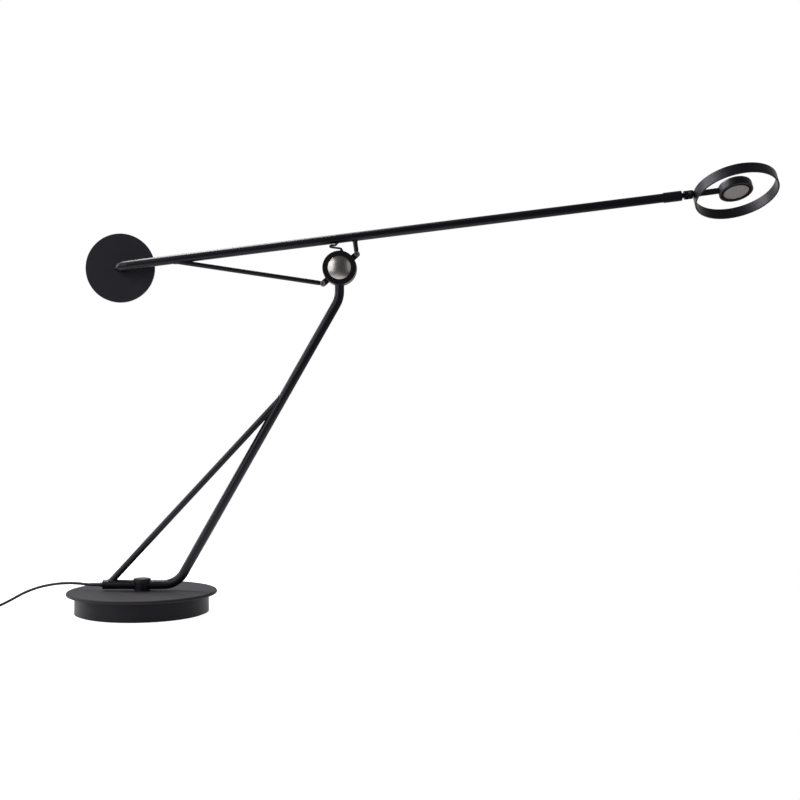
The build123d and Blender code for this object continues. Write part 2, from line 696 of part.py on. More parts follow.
def counterweight():
    """The flat steel disc that balances the arm."""
    front = axis_point(-WEIGHT_REACH, -WEIGHT_BEHIND_ARM)
    back = axis_point(-WEIGHT_REACH, -WEIGHT_BEHIND_ARM - WEIGHT_THICK)
    disc = rounded(rod(front, back, WEIGHT_DIA), WEIGHT_DIA, WEIGHT_EDGE, Axis.Y)
    nodes["counterweight_disc"] = disc - rod(front, back, WEIGHT_SCREW_DIA + 2 * FIT)
    mouth = front - Vector(0, END_PLUG_FLANGE, 0)
    inner = mouth - Vector(0, END_PLUG_LENGTH, 0)
    plug = rod(mouth, front, ARM_TUBE_DIA) + rod(inner, mouth, arm_bore - 2 * FIT)
    nodes["arm_end_plug"] = plug - rod(inner, front, WEIGHT_SCREW_DIA + 2 * FIT)
    head_back = back + Vector(0, WEIGHT_SCREW_HEAD_THICK, 0)
    head = rod(back, head_back, WEIGHT_SCREW_HEAD_DIA)
    head = rounded(head, WEIGHT_SCREW_HEAD_DIA, WEIGHT_SCREW_HEAD_EDGE, Axis.Y, -1)
    socket_end = head_back - Vector(0, WEIGHT_SCREW_SOCKET_DEPTH, 0)
    screw = head + rod(inner, back, WEIGHT_SCREW_DIA)
    nodes["counterweight_screw"] = screw - hex_bar(socket_end, head_back, WEIGHT_SCREW_SOCKET)


def arm_nodes():
    nodes["lug_ring"] = lug_ring()
    bush_dia = AXLE_DIA + 2 * (FIT + LUG_BUSH_WALL)
    nodes["lug_bush"] = sleeve(at_hub(lug_front), at_hub(lug_back), bush_dia, AXLE_DIA + 2 * FIT)
    nodes["short_stay"] = stay(LUG_ANGLES[0], SHORT_STAY_REACH)
    nodes["long_stay"] = stay(LUG_ANGLES[1], -LONG_STAY_REACH)
    nodes["lug_screws"] = group(lug_screw(angle) for angle in LUG_ANGLES)
    nodes["lug_nuts"] = group(lug_nut(angle) for angle in LUG_ANGLES)
    nodes["arm_tube"] = arm_tube()
    nodes["jumper_grommet"] = jumper_grommet()
    nodes["jumper_lead"] = cord_tube("jumper_lead", jumper_route(), JUMPER_DIA)
    nodes["arm_lead"] = arm_lead()
    counterweight()
    wall = axis_point(arm_end - SLEEVE_END_WALL)
    collar = rod(axis_point(arm_end - SLEEVE_LENGTH), axis_point(arm_end), SLEEVE_DIA)
    collar -= rod(axis_point(arm_end - SLEEVE_LENGTH), wall, ARM_TUBE_DIA + 2 * FIT)
    nodes["arm_sleeve"] = collar - rod(wall, axis_point(arm_end), neck_bore)
    bush_end = axis_point(arm_end - SLEEVE_END_WALL - ROLL_BUSH_LENGTH)
    nodes["roll_bush"] = sleeve(bush_end, wall, arm_bore - 2 * FIT, neck_bore)


# ---------------------------------------------------------------- roll joint and tilt knuckle

def knuckle_fork():
    """One turned piece: a hollow neck that rolls in the arm's end, and a fork for the hinge pin."""
    half = FORK_DIA / 2
    barrel = Pos(-FORK_BACK, 0, 0) * Rot(0, 90, 0) * Cylinder(
        half, FORK_BACK + half, align=(Align.CENTER, Align.CENTER, Align.MIN)
    )
    nose = Rot(90, 0, 0) * Cylinder(half, FORK_DIA)
    root = Box(FORK_BACK, FORK_DIA, FORK_DIA, align=(Align.MAX, Align.CENTER, Align.CENTER))
    slot_depth = TONGUE_DIA / 2 + FORK_SLOT_ROOM
    slot = Pos(-slot_depth, 0, 0) * Box(
        slot_depth + FORK_DIA, FORK_SLOT, FORK_DIA, align=(Align.MIN, Align.CENTER, Align.CENTER)
    )
    neck_length = SLEEVE_TO_PIN + ROLL_NECK_INSIDE
    neck = along_stem(-neck_length, ROLL_NECK_ROOT - FORK_BACK, ROLL_NECK_DIA)
    bore = along_stem(-neck_length, 0, ROLL_NECK_BORE)
    pin_hole = Rot(90, 0, 0) * Cylinder(HINGE_PIN_DIA / 2 + FIT, FORK_DIA)
    return fork_plane * ((barrel & (nose + root)) + neck - slot - bore - pin_hole)


def knuckle_nodes():
    nodes["knuckle_fork"] = knuckle_fork()
    nodes["hinge_pin"] = fork_plane * (Rot(90, 0, 0) * Cylinder(HINGE_PIN_DIA / 2, HINGE_PIN_LENGTH))
    ring_start = arm_end - SLEEVE_END_WALL - ROLL_BUSH_LENGTH - THRUST - RETAINER_THICK
    ring_end = axis_point(ring_start + RETAINER_THICK)
    nodes["roll_retainer"] = sleeve(axis_point(ring_start), ring_end, RETAINER_DIA, neck_bore)
    lead_start = axis_point(arm_end - ROLL_NECK_INSIDE)
    lead_end = axis_point(KNUCKLE_REACH - TONGUE_DIA / 2 - FORK_SLOT_ROOM)
    nodes["neck_lead"] = rod(lead_start, lead_end, LEAD_DIA)


# ---------------------------------------------------------------- lamp head, on the plane of its stem

def along_stem(start, end, diameter, drop=0):
    """A round bar along the stem, by its distances from the hinge pin."""
    bar = Cylinder(diameter / 2, end - start, align=(Align.CENTER, Align.CENTER, Align.MIN))
    return Pos(start, 0, -drop) * Rot(0, 90, 0) * bar


def puck_disc(low, high, diameter):
    """A disc square to the light, by its heights above the stem's axis, in the hoop's middle."""
    disc = Cylinder(diameter / 2, high - low, align=(Align.CENTER, Align.CENTER, Align.MIN))
    return Pos(hoop_centre, 0, low) * disc


band_inside = HOOP_TO_PIN + HOOP_WALL
stem_start = band_inside + SHOULDER_WASHER_THICK
puck_half = PUCK_HEIGHT / 2
cavity_top = puck_half - PUCK_TOP
cavity_dia = PUCK_DIA - 2 * PUCK_WALL
nipple_bore = LEAD_DIA + 2 * LEAD_ROOM
nipple_end = stem_start + NECK_NIPPLE_LENGTH
bore_start = TONGUE_DIA / 2


def neck_washer():
    """The washer between the hoop and the stem, hollowed on one side to sit on the curved band."""
    inside = puck_disc(-STEM_DIA, STEM_DIA, HOOP_DIA - 2 * HOOP_WALL)
    washer = along_stem(band_inside, stem_start, STEM_DIA) & inside
    return washer - along_stem(0, stem_start, NECK_NIPPLE_DIA + 2 * FIT)


def hoop():
    """The flat band bent into a ring, with one hole for the neck."""
    low = -HOOP_BELOW_STEM - HOOP_HEIGHT / 2
    high = low + HOOP_HEIGHT
    band = puck_disc(low, high, HOOP_DIA) - puck_disc(low, high, HOOP_DIA - 2 * HOOP_WALL)
    band = fillet(band.edges().filter_by(GeomType.CIRCLE), HOOP_EDGE)
    return band - along_stem(0, stem_start, NECK_NIPPLE_DIA + 2 * FIT)


def tongue():
    """The tilting tongue on the pin; its threaded nipple goes through the hoop into the stem."""
    body = Rot(90, 0, 0) * Cylinder(TONGUE_DIA / 2, TONGUE_THICK)
    body += Box(HOOP_TO_PIN - FIT, TONGUE_THICK, TONGUE_HEIGHT, align=(Align.MIN, Align.CENTER, Align.CENTER))
    body += along_stem(HOOP_TO_PIN / 2, nipple_end, NECK_NIPPLE_DIA)
    body -= Rot(90, 0, 0) * Cylinder(HINGE_PIN_DIA / 2 + FIT, FORK_DIA)
    return body - along_stem(bore_start, nipple_end, nipple_bore)


def stem():
    """The hollow arm across the hoop, which carries the light."""
    end = hoop_centre - cavity_dia / 2 - THRUST
    bar = along_stem(stem_start, end, STEM_DIA) - along_stem(stem_start, end, STEM_BORE)
    return bar - along_stem(stem_start, nipple_end + FIT, NECK_NIPPLE_DIA + 2 * FIT)


def light_housing():
    """The round aluminium housing, thick on top to carry the heat off, open below."""
    case = puck_disc(-puck_half, puck_half, PUCK_DIA)
    case = rounded(case, PUCK_DIA, PUCK_SHOULDER, Axis.Z, -1)
    case = rounded(case, PUCK_DIA, PUCK_EDGE, Axis.Z, 0)
    case -= puck_disc(-puck_half, cavity_top, cavity_dia)
    return case - along_stem(stem_start, hoop_centre - cavity_dia / 2 + PUCK_WALL, STEM_DIA + 2 * FIT)


def light_bezel():
    """The ring pressed into the housing's mouth; its lip holds the diffuser."""
    ring = puck_disc(-puck_half, -puck_half + BEZEL_LIP + DIFFUSER_THICK, cavity_dia - 2 * FIT)
    ring -= puck_disc(-puck_half, puck_half, DIFFUSER_DIA - 2 * BEZEL_LIP)
    return ring - puck_disc(-puck_half + BEZEL_LIP, puck_half, DIFFUSER_DIA + 2 * FIT)


def led_chips():
    board_bottom = cavity_top - BOARD_THICK
    chip = Box(LED_SIZE, LED_SIZE, LED_THICK, align=(Align.CENTER, Align.CENTER, Align.MAX))
    places = [Vector(0, 0, 0)] + [at.position for at in PolarLocations(LED_CIRCLE_DIA / 2, LED_COUNT)]
    return [Pos(hoop_centre + at.X, at.Y, board_bottom) * chip for at in places]


def head_nodes():
    diffuser_bottom = -puck_half + BEZEL_LIP
    head = {
        "hoop": hoop(),
        "tilt_tongue": tongue(),
        "neck_washer": neck_washer(),
        "head_stem": stem(),
        "light_housing": light_housing(),
        "light_bezel": light_bezel(),
        "light_diffuser": puck_disc(diffuser_bottom, diffuser_bottom + DIFFUSER_THICK, DIFFUSER_DIA),
        "led_board": puck_disc(cavity_top - BOARD_THICK, cavity_top, BOARD_DIA),
        "stem_lead": along_stem(bore_start + FIT, hoop_centre - STEM_LEAD_SHORT, LEAD_DIA),
    }
    for name, shape in head.items():
        nodes[name] = head_plane * shape
    nodes["led_chips"] = group(head_plane * chip for chip in led_chips())


# ---------------------------------------------------------------- mains cord

cord_floor = CORD_DIA / 2 + CORD_REST
coil_top = cord_floor + (COIL_LAYERS - 1) * COIL_PITCH


def coil_point(side, radius, height):
    return Vector(COIL_CENTRE_X, side * radius - COIL_OUTER_RADIUS, height)


def cord_route():
    """The free stretch: out of the gland, over the edge of the base and down to the surface."""
    return [
        (FOOT_LEFT_X + 3, 0, tube_z),
        (FOOT_LEFT_X - 18, 0, tube_z),
        (-94, 6, 42),
        (-116, 14.5, 41.2),
        (-138, 21, 38.4),
        (-160, 24.5, 33.2),
        (-180, 24, 25.6),
        (-197.5, 19.5, 15.6),
        (-214, 12, 7.4),
        (-231, 4, 2.9),
        (-246, 0, cord_floor),
        (COIL_CENTRE_X + CORD_DIA, 0, cord_floor),
    ]


def half_turn(start, end, heading):
    """Half a turn as two arcs that meet halfway; it leaves along heading and arrives against it."""
    reach = heading * ((end - start).length / 2)
    middle = (start + end) / 2 + reach
    first = Edge.make_tangent_arc(start, heading, middle)
    return [first, Edge.make_tangent_arc(middle, first % 1, end)]


def coil_edges():
    """Turns that spiral in and out by layers, and climb a layer in the half turn where they reverse."""
    side, radius, height = 1, COIL_OUTER_RADIUS, cord_floor
    here = coil_point(side, radius, height)
    edges = [Edge.make_line(here + Vector(CORD_DIA, 0, 0), here)]
    for layer in range(COIL_LAYERS):
        last = layer == COIL_LAYERS - 1
        inward = -1 if layer % 2 == 0 else 1
        steps = [inward * COIL_PITCH / 2] * (COIL_HALF_TURNS - last)
        climbs = [0] * len(steps)
        if not last:
            steps.append(0)
            climbs.append(COIL_PITCH)
        for step, climb in zip(steps, climbs):
            radius += step
            height += climb
            there = coil_point(-side, radius, height)
            edges += half_turn(here, there, Vector(-side, 0, 0))
            here, side = there, -side
    return edges + [Edge.make_line(here, here - Vector(COIL_TAIL, 0, 0))], here


def least_gap(path, diameter):
    """The least clear distance between turns, on points a little apart along the path."""
    count = round(path.length / (diameter / 3))
    points = [tuple(path @ (i / count)) for i in range(count + 1)]
    skip = round(4 * diameter / (diameter / 3))
    least = min(
        sum((a - b) ** 2 for a, b in zip(points[i], points[j]))
        for i in range(count + 1)
        for j in range(i + skip, count + 1)
    )
    return sqrt(least) - diameter


def cord_nodes():
    nodes["mains_cord"] = cord_tube("mains_cord", cord_route(), CORD_DIA)
    edges, coil_end = coil_edges()
    path = Wire(edges)
    nodes["cord_coil"] = swept(path, CORD_DIA)
    ratio = nodes["cord_coil"].volume / (pi * CORD_DIA ** 2 / 4) / path.length
    print("cord_coil length", round(path.length, 1), "volume ratio", round(ratio, 5))
    print("cord_coil least gap to itself", round(least_gap(path, CORD_DIA), 3))
    neck_start = coil_end - Vector(COIL_TAIL, 0, 0)
    body_start = neck_start - Vector(PLUG_NECK_LENGTH, 0, 0)
    body_end = body_start - Vector(PLUG_LENGTH, 0, 0)
    plug_dia = 2 * (coil_top - PLUG_REST)
    upward = (Align.CENTER, Align.CENTER, Align.MIN)
    neck = Cone(PLUG_NECK_START / 2, PLUG_NECK_DIA / 2, PLUG_NECK_LENGTH, align=upward)
    body = rounded(rod(body_start, body_end, plug_dia), plug_dia, PLUG_EDGE, Axis.X)
    nodes["plug_body"] = body + Plane(origin=neck_start, z_dir=(-1, 0, 0)) * neck
    pins = []
    for side in (-1, 1):
        root = body_end + Vector(0, side * PLUG_PIN_SPACING / 2, 0)
        pin = rod(root, root - Vector(PLUG_PIN_LENGTH, 0, 0), PLUG_PIN_DIA)
        pins.append(rounded(pin, PLUG_PIN_DIA, PLUG_PIN_EDGE, Axis.X, 0))
    nodes["plug_pins"] = group(pins)


# ---------------------------------------------------------------- all pieces

base_nodes()
stand_nodes()
hub_nodes()
arm_nodes()
knuckle_nodes()
head_nodes()
cord_nodes()
for name, shape in nodes.items():
    export_step(shape, f"parts/{name}.step")
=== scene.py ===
import math

import bpy
from mathutils import Matrix, Vector


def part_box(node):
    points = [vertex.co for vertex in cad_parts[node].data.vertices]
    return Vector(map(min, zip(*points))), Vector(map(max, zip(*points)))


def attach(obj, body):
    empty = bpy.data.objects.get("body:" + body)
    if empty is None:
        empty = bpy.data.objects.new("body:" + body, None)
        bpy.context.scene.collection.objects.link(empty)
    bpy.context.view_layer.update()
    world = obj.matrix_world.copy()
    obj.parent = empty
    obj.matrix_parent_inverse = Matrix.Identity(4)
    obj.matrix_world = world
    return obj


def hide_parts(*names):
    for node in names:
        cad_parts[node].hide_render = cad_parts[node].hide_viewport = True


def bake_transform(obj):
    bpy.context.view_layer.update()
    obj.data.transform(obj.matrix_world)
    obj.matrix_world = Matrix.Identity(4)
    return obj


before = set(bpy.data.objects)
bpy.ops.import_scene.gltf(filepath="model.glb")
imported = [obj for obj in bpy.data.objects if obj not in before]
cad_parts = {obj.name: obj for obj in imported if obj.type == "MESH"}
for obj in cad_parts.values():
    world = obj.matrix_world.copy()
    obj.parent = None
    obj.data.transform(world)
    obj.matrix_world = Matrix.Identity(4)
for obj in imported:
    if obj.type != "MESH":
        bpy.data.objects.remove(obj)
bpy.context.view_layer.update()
bpy.ops.object.select_all(action="DESELECT")

# --- Studio ---------------------------------------------------------------------------------------
# A white sweep under soft, even light, in a dim room. The floor and the backdrop are white to the
# camera, and the floor keeps the lamp's own faint shadow. In reflections the backdrop is white
# behind the lamp and darkens towards the camera's side.

bpy.ops.object.camera_add(location=(0.378, -1.950, 0.3115), rotation=(math.radians(90), 0, 0))
camera = bpy.context.object
camera.data.lens = 59.85
camera.data.sensor_width = 36
bpy.context.scene.camera = camera
bpy.context.scene.view_settings.view_transform = "Standard"


class Value:
    """A shader socket that Python arithmetic works on; each operation adds a Math node."""

    def __init__(self, tree, socket):
        self.tree = tree
        self.socket = socket

    def math(self, operation, first, second=0.0):
        node = self.tree.nodes.new("ShaderNodeMath")
        node.operation = operation
        for place, item in enumerate((first, second)):
            if isinstance(item, Value):
                self.tree.links.new(item.socket, node.inputs[place])
            else:
                node.inputs[place].default_value = item
        return Value(self.tree, node.outputs[0])

    def __add__(self, other):
        return self.math("ADD", self, other)

    def __sub__(self, other):
        return self.math("SUBTRACT", self, other)

    def __rsub__(self, other):
        return self.math("SUBTRACT", other, self)

    def __mul__(self, other):
        return self.math("MULTIPLY", self, other)

    def __pow__(self, other):
        return self.math("POWER", self, other)

    __radd__ = __add__
    __rmul__ = __mul__


class Finish:
    """A material on one main shader; any other node comes from its type, settings and inputs."""

    def __init__(self, name, **inputs):
        self.material = bpy.data.materials.new(name)
        self.material.use_nodes = True
        self.tree = self.material.node_tree
        self.shader = self.tree.nodes["Principled BSDF"]
        self.output = self.tree.nodes["Material Output"]
        for socket, value in inputs.items():
            self.set(self.shader, socket.replace("_", " "), value)

    def set(self, node, socket, value):
        if isinstance(value, Value):
            self.tree.links.new(value.socket, node.inputs[socket])
        else:
            node.inputs[socket].default_value = value

    def node(self, kind, settings=None, out=0, **inputs):
        node = self.tree.nodes.new("ShaderNode" + kind)
        for name, value in (settings or {}).items():
            setattr(node, name, value)
        for socket, value in inputs.items():
            self.set(node, socket.replace("_", " "), value)
        return Value(self.tree, node.outputs[out])

    def vector(self, operation, first, second=(0, 0, 0), out="Vector"):
        """Vector maths on two vectors; out is Value for a length."""
        node = self.tree.nodes.new("ShaderNodeVectorMath")
        node.operation = operation
        self.set(node, 0, first)
        self.set(node, 1, second)
        return Value(self.tree, node.outputs[out])

    def noise(self, scale, detail=3.0, where=None):
        where = where or self.node("TexCoord", out="Object")
        return self.node("TexNoise", Vector=where, Scale=scale, Detail=detail)

    def between(self, factor, first, second):
        """A colour mixed by a factor."""
        node = self.tree.nodes.new("ShaderNodeMix")
        node.data_type = "RGBA"
        self.set(node, 0, factor)
        self.set(node, 6, first)
        self.set(node, 7, second)
        return Value(self.tree, node.outputs[2])

    def ramp(self, factor, low, high):
        """0 up to low and 1 from high on."""
        limits = {"From Min": low, "From Max": high}
        node = self.tree.nodes.new("ShaderNodeMapRange")
        node.interpolation_type = "SMOOTHSTEP"
        self.set(node, "Value", factor)
        for socket, value in limits.items():
            self.set(node, socket, value)
        return Value(self.tree, node.outputs[0])

    def bump(self, height, distance, strength=1.0):
        normal = self.node("Bump", Height=height, Distance=distance, Strength=strength)
        self.set(self.shader, "Normal", normal)


def ray_kinds(tree, *kinds):
    """1 for the named kinds of ray and 0 for the rest."""
    path = tree.nodes.new("ShaderNodeLightPath")
    return sum(Value(tree, path.outputs[kind]) for kind in kinds)


floor_radius = 1.10
floor_fade_start = 0.50
floor_fade_end = floor_radius * 0.95
floor_glow = 0.95
bpy.ops.mesh.primitive_circle_add(vertices=96, radius=floor_radius, fill_type="NGON",
                                  location=(0, 0, 0))
floor = bpy.context.object
floor.name = "studio_floor"
paper = Finish("white_paper", Base_Color=(0.42, 0.42, 0.42, 1), Roughness=0.9)
paper.set(paper.shader, "Specular IOR Level", 0.0)
paper.set(paper.shader, "Emission Color", (1, 1, 1, 1))
shown = ray_kinds(paper.tree, "Is Camera Ray", "Is Glossy Ray", "Is Transmission Ray")
paper.set(paper.shader, "Emission Strength", shown * floor_glow)
from_middle = paper.vector("LENGTH", paper.node("TexCoord", out="Object"), out="Value")
edge = paper.ramp(from_middle, floor_fade_start, floor_fade_end)
clear = paper.tree.nodes.new("ShaderNodeBsdfTransparent")
sweep = paper.tree.nodes.new("ShaderNodeMixShader")
paper.tree.links.new(edge.socket, sweep.inputs[0])
paper.tree.links.new(paper.shader.outputs[0], sweep.inputs[1])
paper.tree.links.new(clear.outputs[0], sweep.inputs[2])
paper.tree.links.new(sweep.outputs[0], paper.output.inputs["Surface"])
floor.data.materials.append(paper.material)

world = bpy.data.worlds.new("studio")
bpy.context.scene.world = world
world.use_nodes = True
sky = world.node_tree
direction = sky.nodes.new("ShaderNodeTexCoord")
towards = sky.nodes.new("ShaderNodeSeparateXYZ")
sky.links.new(direction.outputs["Generated"], towards.inputs[0])
backdrop = Value(sky, towards.outputs["Y"]) * 0.5 + 0.5
room_grey = 0.085
backdrop_grey = 0.40
mirror_falloff = 4
room = backdrop * backdrop * (backdrop_grey - room_grey) + room_grey
mirrored = backdrop ** mirror_falloff * (1 - room_grey) + room_grey
camera_rays = ray_kinds(sky, "Is Camera Ray")
mirror_rays = ray_kinds(sky, "Is Glossy Ray", "Is Transmission Ray")
strength = camera_rays + mirror_rays * mirrored + (1 - camera_rays - mirror_rays) * room
sky.nodes["Background"].inputs["Color"].default_value = (1, 1, 1, 1)
sky.links.new(strength.socket, sky.nodes["Background"].inputs["Strength"])


def softbox(name, size, power, place, target):
    """An oblong area lamp, wide and high as given, that looks at a point of the lamp."""
    bpy.ops.object.light_add(type="AREA", location=place)
    light = bpy.context.object
    light.name = name
    light.data.shape = "RECTANGLE"
    light.data.size, light.data.size_y = size
    light.data.energy = power
    light.rotation_euler = (Vector(target) - Vector(place)).to_track_quat("-Z", "Y").to_euler()


hub_place = (0.29, 0, 0.50)
softbox("front_left_softbox", (1.2, 1.8), 19, (-1.10, -1.30, 1.00), hub_place)
softbox("overhead_softbox", (1.0, 0.6), 34, (-0.35, 0.45, 1.70), (0.05, 0, 0.45))
softbox("back_left_softbox", (0.7, 1.6), 20, (-1.60, 0.55, 0.80), hub_place)
softbox("right_softbox", (1.2, 1.5), 3.5, (1.75, -1.10, 0.85), hub_place)

# --- Base -----------------------------------------------------------------------------------------
# A raw cast iron ballast in a rolled steel drum under a turned steel plate. Drum and plate have a
# fine black powder coat, given in two copies: the plate's is lighter, a painted sheen on its top,
# and the drum's is darker, painted shade on its side. The swivel's steel, brass and nylon parts sit
# in the middle, and a rubber pad is below.


def dress(finish, *names):
    """Gives CAD pieces a finish; their meshes stay as they are."""
    for name in names:
        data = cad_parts[name].data
        data.materials.clear()
        data.materials.append(finish.material)


def powder_coat(name, colour, roughness, gloss, pebble_scale=1500):
    """Black powder coat: a pebbled skin, uneven in gloss, with a little dust caught in it."""
    finish = Finish(name, Roughness=roughness)
    finish.set(finish.shader, "Specular IOR Level", gloss)
    finish.set(finish.shader, "Specular Tint", (0.93, 0.89, 1, 1))
    pebble = finish.noise(pebble_scale, 3)
    cloud = finish.noise(17, 4)
    speck = finish.ramp(finish.noise(pebble_scale * 1.7, 1), 0.62, 0.74)
    dusty = finish.ramp(cloud, 0.36, 0.78)
    dust = tuple(2.1 * c for c in colour) + (1,)
    mottled = finish.between(dusty * 0.5 + speck * 0.5, (*colour, 1), dust)
    finish.set(finish.shader, "Base Color", mottled)
    finish.set(finish.shader, "Roughness", pebble * 0.14 + cloud * 0.12 + (roughness - 0.13))
    finish.bump(pebble, 0.000012, 0.6)
    return finish


def metal(name, colour, roughness, grain=2600, pit=0.00002):
    """Bare or plated metal with a fine grain and faint handling marks."""
    finish = Finish(name, Metallic=1.0, Roughness=roughness)
    fine = finish.noise(grain, 2)
    cloud = finish.noise(60, 4)
    dull = tuple(0.62 * c for c in colour) + (1,)
    handled = finish.between(finish.ramp(cloud, 0.3, 0.75), (*colour, 1), dull)
    finish.set(finish.shader, "Base Color", handled)
    finish.set(finish.shader, "Roughness", fine * 0.12 + cloud * 0.14 + (roughness - 0.13))
    finish.bump(fine, pit, 0.6)
    return finish


def moulded(name, colour, roughness, grain=1800):
    """Moulded plastic or rubber: a matt spark-eroded grain with a soft sheen."""
    finish = Finish(name, Roughness=roughness)
    fine = finish.noise(grain, 2)
    cloud = finish.noise(45, 3)
    pale = tuple(min(1.0, 1.35 * c + 0.004) for c in colour) + (1,)
    finish.set(finish.shader, "Base Color", finish.between(cloud, (*colour, 1), pale))
    finish.set(finish.shader, "Roughness", fine * 0.16 + (roughness - 0.08))
    finish.bump(fine, 0.00003, 0.7)
    return finish


satin_black = powder_coat("black_powder_coat", (0.0056, 0.0051, 0.0070), 0.36, 0.27)
matt_black = powder_coat("matt_black_powder_coat", (0.0094, 0.0086, 0.0122), 0.60, 0.28, 1100)

# The plate's coat is painted lighter than the black coat: a painted sheen on its lit top.
plate_coat_painted_sheen = powder_coat("base_plate_coat_painted_sheen", (0.0100, 0.0092, 0.0107), 0.68, 0.26, 900)
dress(plate_coat_painted_sheen, "base_plate")
# The drum's coat is painted darker than the black coat: painted shade on its side, also on the
# bottom cover.
skirt_coat_painted_shade = powder_coat("base_skirt_coat_painted_shade", (0.0046, 0.0042, 0.0060), 0.48, 0.18, 1300)
dress(skirt_coat_painted_shade, "base_skirt", "bottom_cover")
plated_steel = metal("plated_steel", (0.34, 0.33, 0.31), 0.44)
dress(plated_steel, "cover_screws", "swivel_bolt", "swivel_keeper", "swivel_nut", "wave_washer")
dress(metal("cast_iron", (0.11, 0.105, 0.10), 0.72, 700, 0.00009), "ballast")
brass = metal("turned_brass", (0.62, 0.43, 0.17), 0.34)
dress(brass, "swivel_bush")
dress(moulded("dark_nylon", (0.012, 0.012, 0.013), 0.50), "thrust_washer")
rubber = moulded("rubber_pad", (0.014, 0.014, 0.015), 0.78, 1000)
dress(rubber, "foot_pad")

# --- Stand ----------------------------------------------------------------------------------------
# One bent steel tube, clamped between the post and its cap, and a thin brace welded to it at both
# ends. The weld beads are dressed by hand before the whole stand is powder coated.

dress(satin_black, "stand_tube", "brace_tube", "swivel_post", "foot_gland")

# The cap's coat is warmer and lighter than the black coat: partly its own brownish tone, partly a
# painted sheen on its lit top.
cap_coat_painted_sheen = powder_coat("clamp_cap_coat_painted_sheen", (0.0180, 0.0160, 0.0150), 0.46, 0.32, 1300)
dress(cap_coat_painted_sheen, "clamp_cap")

hub_axis = Vector((0.2893, 0, 0.5050))
hub_dia = 0.050
foot_height = 0.0411
foot_bend_x = 0.0512
brace_foot_x = -0.0499
brace_top_x = 0.2108
stand_dia = 0.0138
brace_dia = 0.0094
rise = math.tan(math.radians(60.4))
lean_foot = Vector((foot_bend_x, 0, foot_height))
brace_foot = Vector((brace_foot_x, 0, foot_height))
brace_top = Vector((brace_top_x, 0, foot_height + (brace_top_x - foot_bend_x) * rise))
lean_along = Vector((1, 0, rise))
below_hub = Vector((0, 0, 0.045))
brace_bead = 0.0010
hub_bead = 0.0012
seam_points = 40


def weld_seam(name, tube_point, tube_along, tube_dia, host_point, host_along, host_dia, bead, body):
    """A dressed weld bead round the line where a round tube runs into another one."""
    tube_along, host_along = tube_along.normalized(), host_along.normalized()
    side = tube_along.orthogonal().normalized()
    other = tube_along.cross(side)
    run = tube_along - host_along * tube_along.dot(host_along)
    curve = bpy.data.curves.new(name, "CURVE")
    curve.dimensions = "3D"
    curve.bevel_depth = bead
    curve.bevel_resolution = 3
    spline = curve.splines.new("POLY")
    spline.points.add(seam_points - 1)
    spline.use_cyclic_u = True
    for number, control in enumerate(spline.points):
        turn = 2 * math.pi * number / seam_points
        start = tube_point + (side * math.cos(turn) + other * math.sin(turn)) * (tube_dia / 2)
        gap = start - host_point
        gap -= host_along * gap.dot(host_along)
        half = gap.dot(run)
        root = half * half - run.dot(run) * (gap.dot(gap) - (host_dia / 2) ** 2)
        reach = (-half - math.sqrt(root)) / run.dot(run)
        control.co = (*(start + tube_along * reach), 1)
        control.radius = 1 + 0.10 * math.sin(7 * turn) + 0.06 * math.sin(17 * turn)
    raw = bpy.data.objects.new(name + "_line", curve)
    bpy.context.collection.objects.link(raw)
    mesh = bpy.data.meshes.new_from_object(raw.evaluated_get(bpy.context.evaluated_depsgraph_get()))
    bpy.data.objects.remove(raw)
    seam = bpy.data.objects.new(name, mesh)
    bpy.context.collection.objects.link(seam)
    finish_piece(seam, satin_black, body)


def finish_piece(piece, finish, body):
    """Smooths a new piece, gives it its finish, and lets it ride on its body."""
    piece.data.materials.clear()
    piece.data.materials.append(finish.material)
    bpy.ops.object.select_all(action="DESELECT")
    piece.select_set(True)
    bpy.context.view_layer.objects.active = piece
    bpy.ops.object.shade_smooth_by_angle(angle=math.radians(40))
    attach(piece, body)


brace_along = brace_top - brace_foot
brace_middle = brace_foot + brace_along * 0.5
weld_seam("brace_foot_weld", brace_middle, -brace_along, brace_dia, brace_foot, Vector((1, 0, 0)),
          stand_dia, brace_bead, "stand")
weld_seam("brace_top_weld", brace_middle, brace_along, brace_dia, lean_foot, lean_along,
          stand_dia, brace_bead, "stand")
weld_seam("hub_weld", hub_axis - below_hub, Vector((0, 0, 1)), stand_dia, hub_axis,
          Vector((0, 1, 0)), hub_dia, hub_bead, "stand")

# --- Hub ------------------------------------------------------------------------------------------
# A turned steel drum on top of the stand, powder coated, with a domed dimmer knob in its face. The
# knob is stainless steel, turned and brushed in rings, and left bare. A steel cap with a rounded
# edge closes the back.


def turned(name, place, along, rings, sides=72):
    """A turned piece: a disc extruded ring by ring, from pairs of a distance and a radius."""
    bpy.ops.object.select_all(action="DESELECT")
    bpy.ops.mesh.primitive_circle_add(vertices=sides, radius=rings[0][1], fill_type="NGON",
                                      location=(0, 0, rings[0][0]))
    piece = bpy.context.object
    piece.name = name
    bpy.ops.object.transform_apply(location=True)
    bpy.ops.object.mode_set(mode="EDIT")
    bpy.ops.mesh.select_all(action="SELECT")
    for (low, before), (high, radius) in zip(rings, rings[1:]):
        bpy.ops.mesh.extrude_region_move(TRANSFORM_OT_translate={"value": (0, 0, high - low)})
        share = radius / before
        bpy.ops.transform.resize(value=(share, share, 1), center_override=(0, 0, high))
    bpy.ops.mesh.select_all(action="SELECT")
    bpy.ops.mesh.normals_make_consistent(inside=False)
    bpy.ops.object.mode_set(mode="OBJECT")
    turn = Vector(along).to_track_quat("Z", "Y").to_matrix().to_4x4()
    piece.data.transform(Matrix.Translation(place) @ turn)
    return piece


